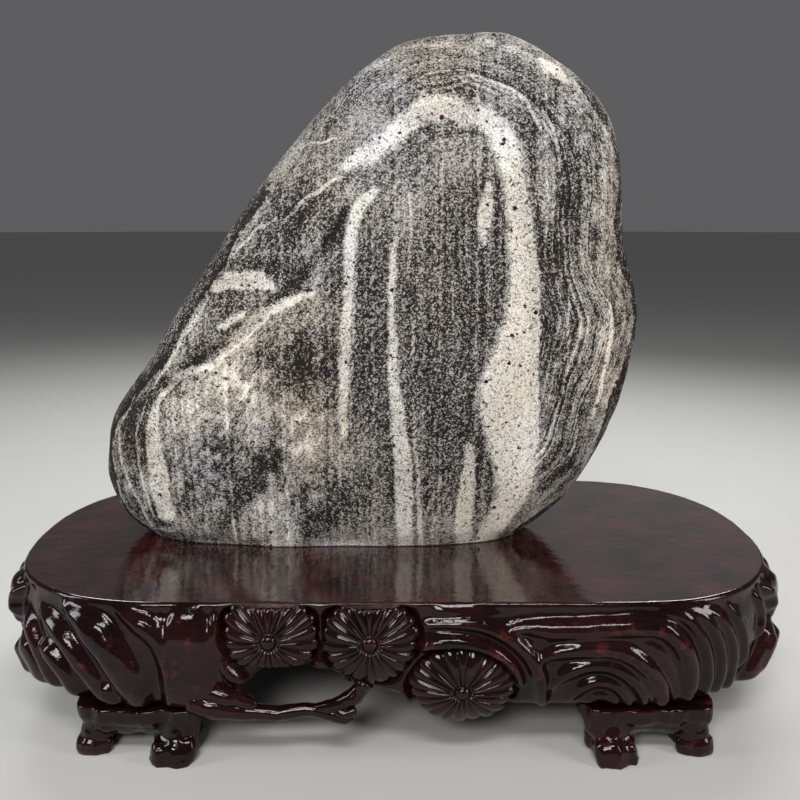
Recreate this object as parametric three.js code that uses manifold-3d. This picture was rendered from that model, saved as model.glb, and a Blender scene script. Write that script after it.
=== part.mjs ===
// A scholar's rock resting on its carved hardwood stand. Millimetres, +Z up.
// The origin is the point on the table beneath the middle of the stand, and -Y is the front.
import * as THREE from 'three';
import { mergeVertices } from 'three/addons/utils/BufferGeometryUtils.js';
import Module from 'manifold-3d';

const wasm = await Module();
wasm.setup();

// Stand: a straight-sided oval top with superelliptic ends, and a hollow skirt beneath it.
const standHeight = 95;
const halfStraight = 128;
const endReach = 107;
const halfDepth = 114;
const endPower = 2.3;
const slabThickness = 18;
const skirtThickness = 20;
const skirtBottom = 30;
const rimColumns = 80;
const bellyOut = 5;
const footTuck = 3;
const sideHeights = [skirtBottom, 40, 52, 65, 78, 88];
const lipOut = 0.8;
const lipHeight = 1.5;

// Gap between pieces that touch.
const gap = 0.3;

// Carved rolls, as distances along the edge from the middle of the front and heights.
const rolls = [
  { radius: 4.5, route: [[60, 86], [90, 88], [125, 88], [153, 85], [170, 75], [181, 58], [187, 38]] },
  { radius: 4, route: [[84, 66], [98, 73], [117, 74], [133, 69], [144, 56], [150, 38]] },
  { radius: 3.5, route: [[93, 42], [101, 54], [115, 58], [128, 53], [137, 40]] },
  { radius: 4, route: [[40, 86], [58, 79], [72, 64], [78, 46]] },
  { radius: 4, route: [[-150, 89], [-138, 85], [-128, 76], [-122, 60], [-119, 38]] },
  { radius: 4, route: [[-180, 88], [-166, 83], [-155, 70], [-150, 56], [-148, 38]] },
  { radius: 4, route: [[-212, 76], [-196, 76], [-182, 66], [-176, 52], [-174, 38]] },
];
const rollSides = 6;
const rollSteps = 7;
const rollSink = 1.5;

// Daisies: distance along the edge, outward, height, radius and how far the face nods downward.
const daisies = [
  { along: -69, outward: 4.5, height: 72, radius: 25.5, nod: 0 },
  { along: -13, outward: 5, height: 71, radius: 26, nod: 0.05 },
  { along: 37.5, outward: 2, height: 47, radius: 29, nod: 0.28 },
];
const petals = 22;
const petalRise = 2.4;
const petalTipRise = 1.4;
const grooveRise = 0.6;
const daisyRise = 3.6;
const daisyBack = -8;
const bossRadius = 4.5;
const bossFoot = 0.8;

// Gap cut through the skirt beneath the flowers, and the root that crosses it.
const archOutline = [
  [-96, 20], [-93, 34], [-85, 45], [-72, 53], [-50, 57], [-34, 54], [-27, 45], [-10, 43], [4, 38], [8, 20],
];
const archCutDepth = 50;
const rootRoute = [[-108, 38], [-90, 37], [-72, 33], [-50, 35], [-34, 31], [-21, 36], [-15, 50]];
const rootRadius = 4.2;
const rootSink = 5;

// Knots at the corners: distance along the edge, outward, height and the three half sizes.
const knots = [
  { along: 247, outward: -2, height: 76, size: [11, 9, 14] },
  { along: 221, outward: 0, height: 44, size: [15, 11, 20] },
  { along: -247, outward: -2, height: 76, size: [11, 9, 14] },
  { along: -221, outward: 0, height: 44, size: [15, 11, 20] },
  { along: 304, outward: -3, height: 56, size: [18, 9, 22] },
];
const knotColumns = 8;
const knotRows = 5;

// Feet: outline from the front, about the foot's middle, then its place and turn.
const footTop = skirtBottom - gap;
const footOutline = [
  [-38, footTop], [-35, 19], [-38, 9], [-37, 0], [-10, 0], [-7, 6], [4, 11], [15, 8], [18, 0], [37, 0],
  [39, 8], [36, 17], [38, footTop],
];
const footMiddle = [145, -118];
const footDepth = 34;
const footTurn = 0.2;
const footBevel = 2.5;
const footLean = 7;

// Stone, measured up from its sawn base: height, left, right, front, back.
const stoneProfile = [
  [0, -163, 86, -32, 48],
  [15, -180, 106, -39, 58],
  [45, -189, 130, -44, 66],
  [80, -184, 143, -48, 72],
  [115, -159, 151, -49, 76],
  [150, -138, 154, -48, 76],
  [190, -109, 144, -45, 72],
  [230, -80, 141, -40, 63],
  [265, -53, 132, -32, 52],
  [290, -29, 111, -21, 41],
  [308, -5, 83, -8, 27],
  [315, 30, 64, 3, 14],
];
const stoneWidestY = 8;
const stoneBaseX = -40;
const stonePeakX = 46;
const stonePower = 2.8;
const stoneLevels = 20;
const stoneColumns = 32;

// Flats worn on the stone: the way each faces, its distance from the stone's middle.
const stoneMiddle = new THREE.Vector3(0, 8, 150);
const stoneFlats = [
  { facing: [-0.5, -0.62, 0.6], distance: 91 },
  { facing: [0.6, -0.8, 0], distance: 103 },
  { facing: [-0.45, 0.7, 0.55], distance: 92 },
  { facing: [0.5, 0.85, 0.1], distance: 103 },
];
const flatFirmness = 0.75;

const stoneColour = 0x8b8a86;
const lacquerColour = 0x2a0e0b;
const stoneRoughness = 0.85;
const lacquerRoughness = 0.2;

// Joins rings of points into one closed surface, with a fan to a centre point at each end.
// Seen from beyond the last ring, the rings run counter-clockwise.
function ringSolid(startCentre, rings, endCentre) {
  const columns = rings[0].length;
  const points = [startCentre, ...rings.flat(), endCentre];
  const at = (ring, column) => 1 + ring * columns + (column % columns);
  const index = [];
  for (let k = 0; k < columns; k += 1) {
    index.push(0, at(0, k + 1), at(0, k));
    for (let j = 0; j < rings.length - 1; j += 1) {
      index.push(at(j, k), at(j, k + 1), at(j + 1, k + 1));
      index.push(at(j, k), at(j + 1, k + 1), at(j + 1, k));
    }
    index.push(at(rings.length - 1, k), at(rings.length - 1, k + 1), points.length - 1);
  }
  const geometry = new THREE.BufferGeometry().setFromPoints(points);
  geometry.setIndex(index);
  return geometry;
}

// Copy of a geometry with its positions only, and each corner held once.
function merge(geometry) {
  const bare = geometry.clone();
  bare.deleteAttribute('normal');
  bare.deleteAttribute('uv');
  return mergeVertices(bare, 1e-4);
}

function toSolid(geometry) {
  const merged = merge(geometry);
  return new wasm.Manifold(new wasm.Mesh({
    numProp: 3,
    vertProperties: new Float32Array(merged.attributes.position.array),
    triVerts: new Uint32Array(merged.index.array),
  }));
}

function toGeometry(solid) {
  const mesh = solid.getMesh();
  const geometry = new THREE.BufferGeometry();
  geometry.setAttribute('position', new THREE.BufferAttribute(mesh.vertProperties, 3));
  geometry.setIndex(new THREE.BufferAttribute(mesh.triVerts, 1));
  return geometry;
}

function makePiece(name, geometry, colour, roughness) {
  const material = new THREE.MeshStandardMaterial({ color: colour, roughness, metalness: 0 });
  const mesh = new THREE.Mesh(geometry, material);
  mesh.name = name;
  return mesh;
}

// Top edge of the stand, starting at the middle of the front and running to the right.
function rimCurve() {
  const steps = 48;
  const rightEnd = [];
  for (let i = 0; i <= steps; i += 1) {
    const angle = Math.PI * (i / steps - 0.5);
    const reach = Math.abs(Math.cos(angle)) ** (2 / endPower);
    const side = Math.sign(angle) * Math.abs(Math.sin(angle)) ** (2 / endPower);
    rightEnd.push(new THREE.Vector3(halfStraight + endReach * reach, halfDepth * side, 0));
  }
  const leftEnd = rightEnd.map((point) => new THREE.Vector3(-point.x, -point.y, 0));
  const front = new THREE.Vector3(0, -halfDepth, 0);
  const back = new THREE.Vector3(0, halfDepth, 0);
  const curve = new THREE.CatmullRomCurve3([front, ...rightEnd, back, ...leftEnd], true, 'centripetal');
  curve.arcLengthDivisions = 2000;
  return curve;
}

const rim = rimCurve();
const perimeter = rim.getLength();

// Level direction that the stand's edge faces at a distance along it.
function edgeFacing(along) {
  const tangent = rim.getTangentAt(THREE.MathUtils.euclideanModulo(along / perimeter, 1));
  return new THREE.Vector3(tangent.y, -tangent.x, 0).normalize();
}

// Point at a distance along the edge, moved out from it, at a height.
function onEdge(along, outward, height) {
  const point = rim.getPointAt(THREE.MathUtils.euclideanModulo(along / perimeter, 1));
  return point.addScaledVector(edgeFacing(along), outward).setZ(height);
}

// How far the carved side stands out from the top edge, by height.
function swell(height) {
  const down = (standHeight - height) / (standHeight - skirtBottom);
  return bellyOut * Math.sin(Math.PI * down) - footTuck * down ** 3;
}

function edgeRing(outward, height) {
  const ring = [];
  for (let k = 0; k < rimColumns; k += 1) {
    ring.push(onEdge(k / rimColumns * perimeter, outward, height));
  }
  return ring;
}

// Slab and skirt as one closed surface, from under the slab, down the inside and up the outside.
function standBlank() {
  const slabUnderside = standHeight - slabThickness;
  const outside = sideHeights.map((height) => edgeRing(swell(height), height));
  const rings = [
    edgeRing(-skirtThickness, slabUnderside),
    edgeRing(-skirtThickness, skirtBottom),
    ...outside,
    edgeRing(lipOut, standHeight - lipHeight),
    edgeRing(0, standHeight),
  ];
  const under = new THREE.Vector3(0, 0, slabUnderside);
  const over = new THREE.Vector3(0, 0, standHeight);
  return toSolid(ringSolid(under, rings, over));
}

// Bar of round section that follows a route of [along, height] pairs in the carved side.
function barAlong(route, radius, sink) {
  const points = route.map(([along, height]) => onEdge(along, swell(height) - sink, height));
  const section = new THREE.Shape(new THREE.EllipseCurve(0, 0, radius, radius).getPoints(rollSides).slice(1));
  return toSolid(new THREE.ExtrudeGeometry(section, {
    steps: rollSteps,
    extrudePath: new THREE.CatmullRomCurve3(points),
  }));
}

// Ring of points about a flower's axis; ridges and grooves take turns.
function petalRing(ridge, groove) {
  const ring = [];
  for (let k = 0; k < 2 * petals; k += 1) {
    const [radius, rise] = k % 2 ? groove : ridge;
    const angle = k / petals * Math.PI;
    ring.push(new THREE.Vector3(radius * Math.cos(angle), radius * Math.sin(angle), rise));
  }
  return ring;
}

// Flower with ridged petals round a domed boss, facing +Z, with its back sunk in the wood.
function daisyGeometry(radius) {
  const backRadius = radius * 0.97;
  const middleRadius = radius * 0.6;
  const rings = [
    petalRing([backRadius, daisyBack], [backRadius, daisyBack]),
    petalRing([radius, petalTipRise], [radius * 0.92, 0]),
    petalRing([middleRadius, petalRise], [middleRadius, grooveRise]),
    petalRing([bossRadius, bossFoot], [bossRadius, bossFoot]),
  ];
  return ringSolid(new THREE.Vector3(0, 0, daisyBack), rings, new THREE.Vector3(0, 0, daisyRise));
}

function placedDaisy({ along, outward, height, radius, nod }) {
  const level = edgeFacing(along);
  const normal = level.clone().setZ(-Math.tan(nod)).normalize();
  const side = new THREE.Vector3(0, 0, 1).cross(level);
  const place = new THREE.Matrix4().makeBasis(side, normal.clone().cross(side), normal);
  place.setPosition(onEdge(along, outward, height));
  return toSolid(daisyGeometry(radius).applyMatrix4(place));
}

function placedKnot({ along, outward, height, size }) {
  const level = edgeFacing(along);
  const side = new THREE.Vector3(0, 0, 1).cross(level);
  const place = new THREE.Matrix4().makeBasis(side, level, new THREE.Vector3(0, 0, -1));
  place.setPosition(onEdge(along, outward, height));
  const ball = new THREE.SphereGeometry(1, knotColumns, knotRows).scale(...size);
  return toSolid(ball.applyMatrix4(place));
}

// Cutter for the gap beneath the flowers, through the front of the skirt only.
function archCutter() {
  const shape = new THREE.Shape(archOutline.map(([x, height]) => new THREE.Vector2(x, height)));
  const geometry = new THREE.ExtrudeGeometry(shape, { depth: archCutDepth, bevelEnabled: false });
  geometry.rotateX(Math.PI / 2);
  geometry.translate(0, -halfDepth + skirtThickness + 10, 0);
  return toSolid(geometry);
}

const halfTurn = new THREE.Matrix4().makeRotationZ(Math.PI);

// The same carving runs round the back, turned half a turn.
function andBehind(makeSolid) {
  const front = makeSolid();
  const behind = toSolid(toGeometry(front).applyMatrix4(halfTurn));
  return [front, behind];
}

function standGeometry() {
  const carvings = [
    ...rolls.flatMap(({ route, radius }) => andBehind(() => barAlong(route, radius, rollSink))),
    ...daisies.flatMap((daisy) => andBehind(() => placedDaisy(daisy))),
    ...knots.flatMap((knot) => andBehind(() => placedKnot(knot))),
  ];
  const roots = andBehind(() => barAlong(rootRoute, rootRadius, rootSink));
  const carved = carvings.reduce((solid, carving) => solid.add(carving), standBlank());
  const opened = andBehind(archCutter).reduce((solid, cutter) => solid.subtract(cutter), carved);
  return toGeometry(roots.reduce((solid, root) => solid.add(root), opened));
}

// Root foot with two toes; its front leans back towards the skirt above it.
function footGeometry(mirrorX, mirrorY) {
  const shape = new THREE.Shape(footOutline.map(([x, height]) => new THREE.Vector2(x, height)));
  const geometry = new THREE.ExtrudeGeometry(shape, {
    depth: footDepth - 2 * footBevel,
    bevelThickness: footBevel,
    bevelSize: footBevel,
    bevelOffset: -footBevel,
    bevelSegments: 1,
  });
  geometry.rotateX(Math.PI / 2);
  geometry.translate(0, footDepth - footBevel, 0);
  const position = geometry.attributes.position;
  for (let i = 0; i < position.count; i += 1) {
    const forward = 1 - position.getY(i) / footDepth;
    position.setY(i, position.getY(i) + footLean * forward * position.getZ(i) / footTop);
  }
  geometry.rotateZ(footTurn);
  geometry.translate(...footMiddle, 0);
  geometry.scale(mirrorX, mirrorY, 1);
  return mirrorX * mirrorY < 0 ? flipped(geometry) : geometry;
}

// Turns the triangles of a mirrored shape to face outward again.
function flipped(geometry) {
  const merged = merge(geometry);
  const index = merged.index.array;
  for (let i = 0; i < index.length; i += 3) {
    [index[i], index[i + 1]] = [index[i + 1], index[i]];
  }
  return merged;
}

// Presses a point of the stone back towards each worn flat that it stands beyond.
function wornPoint(point) {
  for (const { facing, distance } of stoneFlats) {
    const normal = new THREE.Vector3(...facing).normalize();
    const beyond = point.clone().sub(stoneMiddle).dot(normal) - distance;
    if (beyond > 0) {
      point.addScaledVector(normal, -flatFirmness * beyond);
    }
  }
  return point;
}

// Level section through the stone at a place along its profile, from 0 at the base to 1 at the top.
function stoneRing(place, widths, depths) {
  const { x: left, y: right, z: height } = widths.getPoint(place);
  const { x: front, y: back } = depths.getPoint(place);
  const ring = [];
  for (let k = 0; k < stoneColumns; k += 1) {
    const angle = k / stoneColumns * 2 * Math.PI;
    const across = Math.sign(Math.cos(angle)) * Math.abs(Math.cos(angle)) ** (2 / stonePower);
    const inward = Math.sign(Math.sin(angle)) * Math.abs(Math.sin(angle)) ** (2 / stonePower);
    const x = (left + right) / 2 + across * (right - left) / 2;
    const y = stoneWidestY + Math.abs(inward) * ((inward < 0 ? front : back) - stoneWidestY);
    ring.push(wornPoint(new THREE.Vector3(x, y, height)).setZ(height));
  }
  return ring;
}

function stoneGeometry() {
  const widthPoints = stoneProfile.map(([height, left, right]) => new THREE.Vector3(left, right, height));
  const depthPoints = stoneProfile.map(([height, , , front, back]) => new THREE.Vector3(front, back, height));
  const widths = new THREE.CatmullRomCurve3(widthPoints, false, 'catmullrom');
  const depths = new THREE.CatmullRomCurve3(depthPoints, false, 'catmullrom');
  const rings = [];
  for (let j = 0; j <= stoneLevels; j += 1) {
    rings.push(stoneRing(j / stoneLevels, widths, depths));
  }
  const base = new THREE.Vector3(stoneBaseX, stoneWidestY, 0);
  const peak = new THREE.Vector3(stonePeakX, stoneWidestY, stoneProfile.at(-1)[0]);
  const geometry = ringSolid(base, rings, peak);
  geometry.translate(0, 0, standHeight + gap);
  return geometry;
}

const object = new THREE.Group();
object.add(makePiece('stone', stoneGeometry(), stoneColour, stoneRoughness));
object.add(makePiece('stand', standGeometry(), lacquerColour, lacquerRoughness));
for (const [side, mirrorX] of [['left', -1], ['right', 1]]) {
  object.add(makePiece(`foot_front_${side}`, footGeometry(mirrorX, 1), lacquerColour, lacquerRoughness));
  object.add(makePiece(`foot_back_${side}`, footGeometry(mirrorX, -1), lacquerColour, lacquerRoughness));
}

export default object;
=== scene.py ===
import math
import bpy
import numpy as np
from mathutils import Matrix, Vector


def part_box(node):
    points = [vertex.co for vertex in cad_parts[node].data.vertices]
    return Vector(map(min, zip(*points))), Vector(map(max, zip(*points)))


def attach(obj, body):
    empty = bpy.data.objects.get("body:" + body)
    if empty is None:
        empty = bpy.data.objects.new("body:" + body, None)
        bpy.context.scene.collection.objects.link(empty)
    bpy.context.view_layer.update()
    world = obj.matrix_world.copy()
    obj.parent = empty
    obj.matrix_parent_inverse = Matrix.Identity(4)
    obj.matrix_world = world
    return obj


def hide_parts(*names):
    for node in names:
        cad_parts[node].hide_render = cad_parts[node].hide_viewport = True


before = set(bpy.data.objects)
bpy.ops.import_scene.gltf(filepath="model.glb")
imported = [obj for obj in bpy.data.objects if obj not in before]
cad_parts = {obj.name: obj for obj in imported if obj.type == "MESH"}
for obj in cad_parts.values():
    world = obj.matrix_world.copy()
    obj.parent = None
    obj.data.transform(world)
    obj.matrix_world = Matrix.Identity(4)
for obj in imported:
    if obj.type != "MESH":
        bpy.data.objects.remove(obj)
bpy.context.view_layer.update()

mm = 0.001  # shapes below are worked out in millimetres, and meshes are made in metres


# smooth random bumps between -1 and 1, about `size` across
def softNoise(places, size, seed):
    grid = places / size + np.array([3.17, 1.73, 2.61]) * seed
    cell = np.floor(grid).astype(np.int64)
    part = grid - cell
    ease = part ** 3 * (part * (part * 6 - 15) + 10)
    total = np.zeros(len(places))
    for corner in np.ndindex(2, 2, 2):
        x, y, z = (cell + corner).T
        mixed = (x * 374761393 + y * 668265263 + z * 1442695041 + seed * 97531) & 0xFFFFFFFF
        mixed = ((mixed ^ (mixed >> 13)) * 1274126177) & 0xFFFFFFFF
        value = ((mixed ^ (mixed >> 16)) & 0xFFFF) / 32767.5 - 1
        total += value * np.prod(np.where(corner, ease, 1 - ease), axis=1)
    return total


# soft noise of several kinds, each with an amount, a size across and a seed
def noiseSum(places, *kinds):
    return sum(amount * softNoise(places, size, seed) for amount, size, seed in kinds)


# soft noise in layers, each half as large and half as strong as the one before
def layeredNoise(places, amount, size, seed, layers=4):
    return amount * sum(0.5 ** k * softNoise(places, size / 2 ** k, seed + k) for k in range(layers))


def smoothStep(value, low, high):
    part = np.clip((value - low) / (high - low), 0, 1)
    return part * part * (3 - 2 * part)


# smooth curve through rows of numbers, read at places from 0 to 1
def throughRows(rows, places):
    rows = np.array(rows, float)
    reach = np.clip(places, 0, 1) * (len(rows) - 1)
    first = np.minimum(reach.astype(int), len(rows) - 2)
    part = (reach - first)[:, None]
    ends = np.vstack([2 * rows[0] - rows[1], rows, 2 * rows[-1] - rows[-2]])
    a, b, c, d = (ends[first + k] for k in range(4))
    return 0.5 * (2 * b + (c - a) * part + (2 * a - 5 * b + 4 * c - d) * part ** 2
                  + (3 * b - a - 3 * c + d) * part ** 3)


# how far each place lies inside a stroke whose rows end in a half width; negative outside
def insideStroke(places, route):
    best = np.full(len(places), -1e3)
    for start, end in zip(route[:-1], route[1:]):
        run = end[:-1] - start[:-1]
        away = places - start[:-1]
        part = np.clip(away @ run / (run @ run + 1e-9), 0, 1)
        width = start[-1] + part * (end[-1] - start[-1])
        best = np.maximum(best, width - np.linalg.norm(away - part[:, None] * run, axis=1))
    return best


# each row made 1 long
def unit(rows):
    return rows / np.linalg.norm(rows, axis=-1, keepdims=True)


# an oval with fuller corners than an ellipse, as places across and inward from -1 to 1
def fullOval(angle, fullness):
    return [np.sign(wave) * np.abs(wave) ** (2 / fullness) for wave in (np.cos(angle), np.sin(angle))]


def addObject(name, data):
    made = bpy.data.objects.new(name, data)
    bpy.context.scene.collection.objects.link(made)
    return made


def makeMesh(name, points, faces):
    mesh = bpy.data.meshes.new(name)
    mesh.from_pydata((np.asarray(points) * mm).tolist(), [], faces)
    mesh.polygons.foreach_set("use_smooth", [True] * len(mesh.polygons))
    return addObject(name, mesh)


# faces of a surface made of rings of points, lowest ring first, closed by a fan at each end
def ringFaces(rings, columns):
    around = np.arange(columns)
    after = (around + 1) % columns
    start = np.arange(rings - 1)[:, None] * columns
    low, lowNext = start + around, start + after
    quads = np.stack([low, lowNext, lowNext + columns, low + columns], -1).reshape(-1, 4).tolist()
    last, middle = (rings - 1) * columns, np.full(columns, rings * columns)
    bottomFan = np.stack([middle, after, around], -1).tolist()
    topFan = np.stack([last + around, last + after, middle + 1], -1).tolist()
    return quads + bottomFan + topFan


# points, faces and wear of stacked rings, closed by a point at each end
def closedRings(rings, wear, low, high, highWear=0):
    points = np.vstack([*rings, [low, high]])
    return points, ringFaces(len(rings), len(rings[0])), np.append(np.concatenate(wear), [0, highWear])


# direction of a tube along its line, and the directions from the line to the points of each ring
def tubeRings(line, facing, sides):
    run = unit(np.gradient(line, axis=0))
    side = unit(np.cross(run, facing))
    out = np.cross(side, run)
    angle = np.arange(sides) / sides * 2 * math.pi
    return run, np.cos(angle)[:, None] * side[:, None] + np.sin(angle)[:, None] * out[:, None]


# one list of points and one of faces for several closed surfaces
def joined(surfaces):
    points, faces, used = [], [], 0
    for surfacePoints, surfaceFaces, *_ in surfaces:
        points.append(surfacePoints)
        faces += [tuple(corner + used for corner in face) for face in surfaceFaces]
        used += len(surfacePoints)
    return np.vstack(points), faces


def setValues(thing, name, values):
    data = thing.data.attributes.new(name, "FLOAT", "POINT").data
    data.foreach_set("value", np.asarray(values, np.float32))


# links or sets the named sockets of a shader node
def setSockets(node, sockets):
    for name, value in sockets.items():
        if isinstance(value, bpy.types.NodeSocket):
            node.id_data.links.new(value, node.inputs[name])
        else:
            node.inputs[name].default_value = value


# adds a shader node beside the nodes that it is linked to
def addNode(kind, sockets, **settings):
    linked = [value for value in sockets.values() if isinstance(value, bpy.types.NodeSocket)]
    made = linked[0].id_data.nodes.new(kind)
    for name, value in settings.items():
        setattr(made, name, value)
    setSockets(made, sockets)
    return made


def maths(operation, *values):
    return addNode("ShaderNodeMath", dict(enumerate(values)), operation=operation).outputs[0]


def plus(first, second):
    return maths("ADD", first, second)


def minus(first, second):
    return maths("SUBTRACT", first, second)


def times(first, second):
    return maths("MULTIPLY", first, second)


def timesPlus(value, factor, more):
    return maths("MULTIPLY_ADD", value, factor, more)


def noiseValue(places, scale, detail, rough=0.5, dimensions="3D"):
    place = "W" if dimensions == "1D" else "Vector"
    sockets = {place: places, "Scale": scale, "Detail": detail, "Roughness": rough}
    return addNode("ShaderNodeTexNoise", sockets, noise_dimensions=dimensions).outputs[0]


def mixColours(share, first, second, blend="MIX"):
    sockets = {0: share, 6: first, 7: second}
    return addNode("ShaderNodeMix", sockets, data_type="RGBA", blend_type=blend).outputs[2]


def mixValues(share, first, second):
    return addNode("ShaderNodeMix", {0: share, 2: first, 3: second}, data_type="FLOAT").outputs[0]


def remap(value, low, high, toLow=0.0, toHigh=1.0, way="SMOOTHSTEP"):
    sockets = {0: value, 1: low, 2: high, 3: toLow, 4: toHigh}
    return addNode("ShaderNodeMapRange", sockets, interpolation_type=way).outputs[0]


def bumped(height, strength, depth):
    return addNode("ShaderNodeBump", {"Height": height, "Strength": strength, "Distance": depth}).outputs[0]


def readValue(tree, name):
    made = tree.nodes.new("ShaderNodeAttribute")
    made.attribute_name = name
    return made.outputs["Fac"]


# object coordinates in millimetres
def placesInMm(tree):
    coordinates = tree.nodes.new("ShaderNodeTexCoord").outputs["Object"]
    return addNode("ShaderNodeVectorMath", {0: coordinates, 3: 1000.0}, operation="SCALE").outputs[0]


def newMaterial(name):
    material = bpy.data.materials.new(name)
    material.use_nodes = True
    tree = material.node_tree
    return material, tree, tree.nodes["Principled BSDF"]


cameraSetup = dict(place=(3.3, -543.9, 296.2), downward=11.63, lens=38.25, sensor=36.0)


def makeCamera():
    data = bpy.data.cameras.new("camera")
    data.sensor_width = cameraSetup["sensor"]
    data.lens = cameraSetup["lens"]
    data.clip_start = 0.01
    camera = addObject("camera", data)
    camera.location = [value * mm for value in cameraSetup["place"]]
    camera.rotation_euler = (math.radians(90 - cameraSetup["downward"]), 0, 0)
    bpy.context.scene.camera = camera


# place, aim and size in mm, power in watts, colour
lights = dict(
    keyFront=((-340, -1280, 920), (0, 0, 180), (560, 310), 10.8, (1, 0.98, 0.95)),
    stripAbove=((40, -900, 1280), (0, -60, 110), (760, 210), 9.5, (1, 0.99, 0.97)),
    softboxLeft=((-900, -260, 480), (0, 0, 120), (160, 560), 3, (0.96, 0.98, 1)),
    softboxRight=((880, -420, 480), (60, 0, 120), (160, 460), 3, (1, 0.98, 0.96)),
    rimBehind=((350, 800, 900), (0, 0, 180), (900, 300), 9, (1, 1, 1)),
    fillBehind=((-650, 850, 1050), (-60, 0, 160), (400, 300), 4.5, (1, 1, 1)),
    # a dim wall of light that the polished top mirrors on its right
    panelBehind=((480, 1100, 530), (140, 0, 95), (900, 400), 0.12, (1, 0.97, 0.97)),
)


def makeLights():
    for name, (place, aim, size, power, colour) in lights.items():
        data = bpy.data.lights.new(name, "AREA")
        data.shape = "RECTANGLE"
        data.size, data.size_y = (value * mm for value in size)
        data.energy = power
        data.color = colour
        lamp = addObject(name, data)
        lamp.visible_camera = False
        place = np.array(place, float) * mm
        lamp.location = place
        away = Vector(place) - Vector(np.array(aim, float) * mm)
        lamp.rotation_euler = away.to_track_quat("Z", "Y").to_euler()


room = dict(
    worldLight=(0.30, 0.30, 0.31), worldStrength=0.37, floorRadius=40000, floorSides=96,
    floorColour=(0.52, 0.52, 0.51), floorMottle=0.94, mottleScale=0.02, floorRoughness=0.7,
)


def makeRoom():
    world = bpy.data.worlds.new("studio")
    world.use_nodes = True
    background = world.node_tree.nodes["Background"]
    background.inputs["Color"].default_value = (*room["worldLight"], 1)
    background.inputs["Strength"].default_value = room["worldStrength"]
    bpy.context.scene.world = world
    angle = np.arange(room["floorSides"]) / room["floorSides"] * 2 * math.pi
    edge = room["floorRadius"] * np.column_stack([np.cos(angle), np.sin(angle), angle * 0])
    floor = makeMesh("floor", edge, [tuple(range(len(edge)))])
    material, tree, shader = newMaterial("floorPaper")
    mottled = noiseValue(placesInMm(tree), room["mottleScale"], 3.0)
    pale = tuple(value * room["floorMottle"] for value in room["floorColour"])
    colour = mixColours(mottled, (*pale, 1), (*room["floorColour"], 1))
    setSockets(shader, {"Base Color": colour, "Roughness": room["floorRoughness"]})
    floor.data.materials.append(material)
    bpy.context.scene.view_settings.view_transform = "Standard"


makeCamera()
makeLights()
makeRoom()
print("camera, lights and floor made")


stoneBox = [np.array(corner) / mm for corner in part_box("stone")]

stoneShape = dict(
    rings=228, columns=430, behindColumns=0.62, typicalHalf=(140, 60), widestY=8, squareness=2.8,
    # height above the sawn base, left, right, front, back
    profile=[
        (0, -163, 86, -32, 48), (15, -180, 106, -39, 58), (45, -189, 130, -44, 66),
        (80, -184, 143, -48, 72), (115, -159, 151, -49, 76), (150, -138, 154, -48, 76),
        (190, -109, 144, -45, 72), (230, -80, 141, -40, 63), (265, -53, 132, -32, 52),
        (288, -31, 113, -22, 42), (304, -10, 90, -11, 30), (312, 8, 71, -3, 20), (315, 31, 56, 4, 11)],
    # nearly flat faces: direction they face and distance from the middle
    middle=(0, 8, 150), firmness=0.75,
    flats=[((-0.5, -0.62, 0.6), 91), ((0.6, -0.8, 0), 103),
           ((-0.45, 0.7, 0.55), 92), ((0.5, 0.85, 0.1), 103)],
    # size across and depth of the water-worn bumps, which die out on the last rings round the peak
    bumps=[(75, 3.2), (34, 1.6), (15, 0.7), (7, 0.3)], bumpSeed=11, calmRings=8,
    bumpStretch=(1, 1, 0.75), bumpPush=(1, 1, 0.6),
    # creases worn between harder layers: x, height, half width; then depth
    creaseSide=(-5, 3),
    creases=[
        ([(-140, 104, 3), (-118, 122, 3), (-93, 136, 3), (-74, 154, 3), (-54, 172, 3), (-36, 195, 3),
          (-27, 210, 2)], 3.4),
        ([(-80, 222, 2), (-58, 208, 3), (-40, 218, 3), (-24, 232, 3), (-8, 248, 2)], 1.6),
        ([(-118, 170, 2), (-98, 180, 3), (-70, 178, 3), (-56, 174, 2)], 1.6),
        ([(18, 292, 3), (45, 291, 3), (72, 282, 3), (92, 265, 3), (99, 240, 3), (101, 205, 2)], 1.4),
        ([(-168, 92, 2), (-164, 60, 3), (-160, 30, 2)], 1.2),
        ([(-153, 13, 2.5), (-145, 12, 2.5)], 2.2),
        ([(20, 305, 1.2), (38, 299, 2), (52, 300, 2), (66, 307, 1.2)], 1.8),
        ([(-117, 69, 0.5), (-105, 67, 1.2), (-90, 64, 1.2), (-75, 55, 1.2), (-66, 46, 0.5)], 1.5)],
)


def wornStone(points):
    middle = np.array(stoneShape["middle"], float)
    for facing, distance in stoneShape["flats"]:
        normal = np.array(facing) / np.linalg.norm(facing)
        beyond = np.clip((points - middle) @ normal - distance, 0, None)
        points = points - stoneShape["firmness"] * beyond[..., None] * normal
    return points


# angles of the columns, spaced evenly along a typical section and wider apart behind
def columnAngles():
    angle = np.linspace(0, 2 * math.pi, 20001)
    across, inward = fullOval(angle, stoneShape["squareness"])
    halfWidth, halfDepth = stoneShape["typicalHalf"]
    steps = np.hypot(np.diff(halfWidth * across), np.diff(halfDepth * inward))
    steps *= np.where(angle[1:] < math.pi, stoneShape["behindColumns"], 1)
    length = np.append(0, np.cumsum(steps))
    columns = stoneShape["columns"]
    return np.interp(np.arange(columns) / columns * length[-1], length, angle)


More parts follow.
